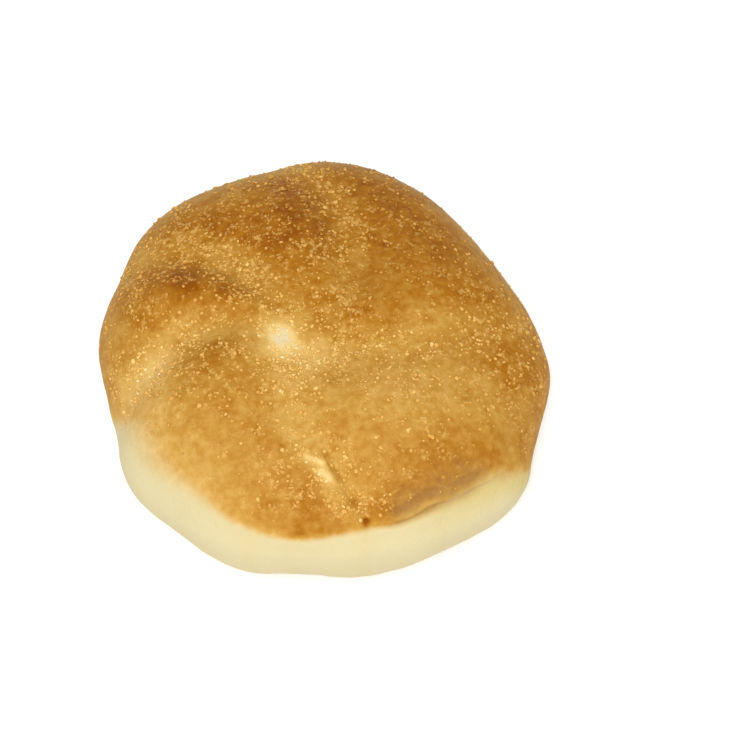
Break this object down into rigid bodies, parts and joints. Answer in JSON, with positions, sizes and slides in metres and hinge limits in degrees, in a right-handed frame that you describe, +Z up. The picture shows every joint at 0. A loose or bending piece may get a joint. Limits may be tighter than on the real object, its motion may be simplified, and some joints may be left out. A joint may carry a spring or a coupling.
{
  "type": "bread roll",
  "caption": "Round swirled bread roll, its browned top pressed into curved petals and dusted with coarse cornmeal, with a pale soft side and a flat base.",
  "frame": {"origin": "middle of the flat underside", "axes": "+Z up, +X to the right of the shown front, +Y to the back; the front is the side with the folded groove"},
  "size_m": [0.1048, 0.1082, 0.0459],
  "materials": {
    "crust": "baked crust, softly glossy on top, matte and pale round the side",
    "cornmeal": "matte coarse ground maize"
  },
  "bodies": {
    "root": {"bread_roll": "crust"}
  },
  "joints": []
}
